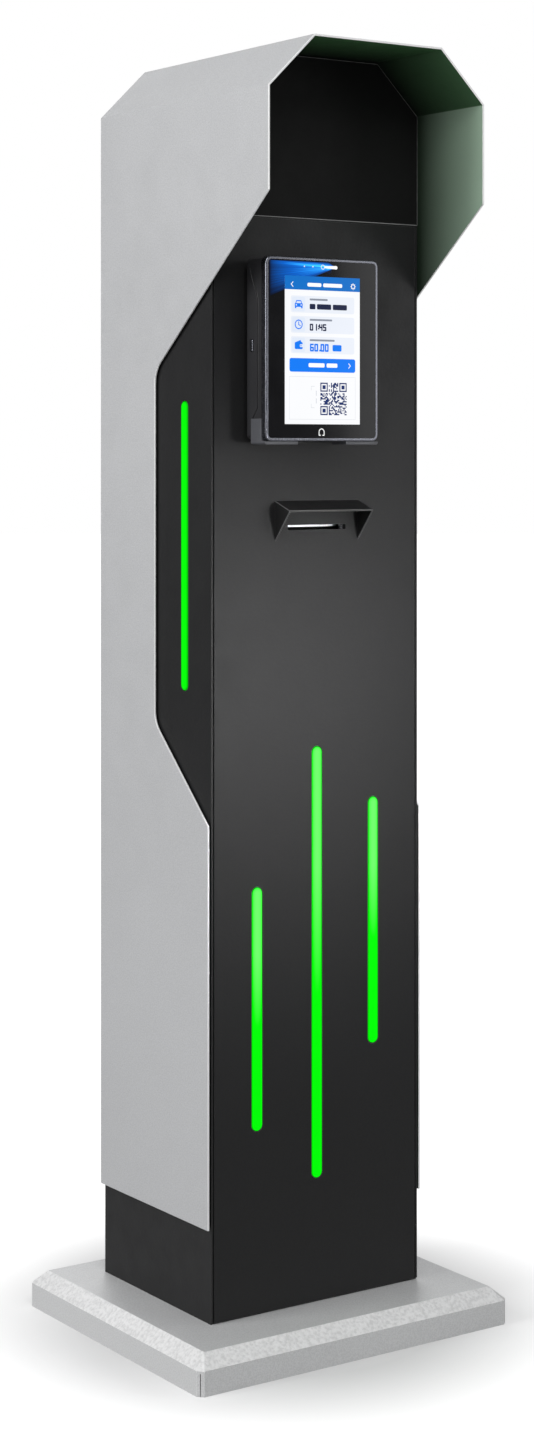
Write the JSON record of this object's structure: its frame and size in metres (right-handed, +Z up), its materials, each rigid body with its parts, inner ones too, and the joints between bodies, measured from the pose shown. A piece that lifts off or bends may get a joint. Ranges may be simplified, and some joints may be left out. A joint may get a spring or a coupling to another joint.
{
  "type": "parking pay station",
  "caption": "Black column pay station with a silver wrap-round shell and octagonal weather hood, touch terminal, hooded receipt slot, green light strips and a rear service door.",
  "frame": {"origin": "centre of the plinth's underside, on the floor", "axes": "+Z up, -Y the front with the terminal, +X to the right seen from the front"},
  "size_m": [0.445, 0.425, 1.529],
  "materials": {
    "silver_coat": "silver-grey powder coat, fine orange peel",
    "black_coat": "satin black powder coat",
    "zinc_steel": "zinc plated",
    "bare_aluminium": "extruded, satin",
    "green_lens": "lit diffuser",
    "green_board": "printed circuit board",
    "dark_glass": "polished black",
    "lit_display": "lit panel",
    "grey_metal": "anodised grey",
    "black_plastic": "fine moulded texture",
    "grey_plastic": "moulded",
    "pale_plastic": "moulded",
    "camera_lens": "coated",
    "black_rubber": "matte",
    "hard_steel": "ground",
    "thermal_paper": "smooth",
    "card": "wound tube",
    "chrome_lock": "polished",
    "nylon": "natural",
    "blue_case": "satin"
  },
  "bodies": {
    "column": {"plinth_cover": "silver_coat", "base_plate": "zinc_steel", "base_posts": "zinc_steel", "foot_fasteners": "zinc_steel", "cable_gland": "black_plastic", "column_body": "black_coat", "front_panel": "black_coat", "upper_panel": "black_coat", "rear_upper_panel": "black_coat", "shell": "silver_coat", "shell_fixings": "zinc_steel", "front_lights": "green_lens", "side_lights": "green_lens", "light_channels": "bare_aluminium", "light_boards": "green_board", "receipt_hood": "black_coat", "receipt_chute": "black_plastic", "terminal_rim": "grey_metal", "terminal_glass": "dark_glass", "terminal_camera": "camera_lens", "terminal_display": "lit_display", "terminal_housing": "black_plastic", "terminal_board": "green_board", "terminal_bumpers": "grey_plastic", "terminal_cradle": "black_plastic", "cradle_screws": "zinc_steel", "printer_shelf": "zinc_steel", "printer_chassis": "grey_plastic", "printer_motor": "zinc_steel", "print_head": "bare_aluminium", "cutter_frame": "hard_steel", "paper_spindle": "hard_steel", "door_seal": "black_rubber", "hinge_fixed_leaves": "hard_steel", "hinge_pins": "hard_steel", "equipment_tray": "zinc_steel", "power_supply": "bare_aluminium", "controller": "blue_case", "din_rail": "zinc_steel", "breaker": "pale_plastic", "terminal_blocks": "pale_plastic", "fan_frame": "black_plastic"},
    "service_door": {"rear_door": "black_coat", "hinge_door_leaves": "hard_steel", "lock_housings": "chrome_lock"},
    "low_lock": {"low_lock_barrel": "chrome_lock", "low_lock_cam": "zinc_steel"},
    "high_lock": {"high_lock_barrel": "chrome_lock", "high_lock_cam": "zinc_steel"},
    "platen": {"platen_roller": "black_rubber", "platen_shaft": "hard_steel", "platen_gear": "nylon"},
    "drive_pinion": {"motor_pinion": "hard_steel"},
    "receipt_roll": {"paper_roll": "thermal_paper", "paper_core": "card"},
    "cutter": {"cutter_blade": "hard_steel"},
    "lid": {"printer_lid": "grey_plastic"},
    "side_button": {"terminal_button": "grey_metal"},
    "toggle": {"breaker_toggle": "black_plastic"},
    "rotor": {"fan_rotor": "black_plastic"}
  },
  "joints": [
    {"name": "door_hinge", "type": "hinge", "parent": "column", "child": "service_door", "pos_m": [-0.1445, 0.1395, 0.65], "axis": [0, 0, 1], "range_deg": [0, 105]},
    {"name": "low_lock_turn", "type": "hinge", "parent": "service_door", "child": "low_lock", "pos_m": [0.112, 0.125, 0.34], "axis": [0, -1, 0], "range_deg": [0, 90]},
    {"name": "high_lock_turn", "type": "hinge", "parent": "service_door", "child": "high_lock", "pos_m": [0.112, 0.125, 1.02], "axis": [0, -1, 0], "range_deg": [0, 90]},
    {"name": "platen_spin", "type": "hinge", "parent": "column", "child": "platen", "pos_m": [0, -0.08, 0.9587], "axis": [1, 0, 0], "continuous": true},
    {"name": "pinion_spin", "type": "hinge", "parent": "column", "child": "drive_pinion", "pos_m": [0.05, -0.06515, 0.94385], "axis": [1, 0, 0], "continuous": true},
    {"name": "roll_spin", "type": "hinge", "parent": "column", "child": "receipt_roll", "pos_m": [0, -0.008, 0.945], "axis": [1, 0, 0], "continuous": true},
    {"name": "cutter_slide", "type": "slide", "parent": "column", "child": "cutter", "axis": [0, 0, -1], "range_m": [0, 0.008], "stiffness_N_per_m": 60, "springref_m": -0.002},
    {"name": "lid_hinge", "type": "hinge", "parent": "column", "child": "lid", "pos_m": [0, 0.036, 0.986], "axis": [-1, 0, 0], "range_deg": [0, 70]},
    {"name": "side_button_press", "type": "slide", "parent": "column", "child": "side_button", "axis": [1, 0, 0], "range_m": [0, 0.0008], "stiffness_N_per_m": 300},
    {"name": "breaker_toggle_turn", "type": "hinge", "parent": "column", "child": "toggle", "pos_m": [-0.072, 0.0045, 0.57], "axis": [1, 0, 0], "range_deg": [-45, 45]},
    {"name": "fan_spin", "type": "hinge", "parent": "column", "child": "rotor", "pos_m": [0, 0.12, 1.412], "axis": [0, 1, 0], "continuous": true}
  ],
  "couplings": [
    {"joint": "pinion_spin", "follows": "platen_spin", "ratio": -2.5}
  ]
}
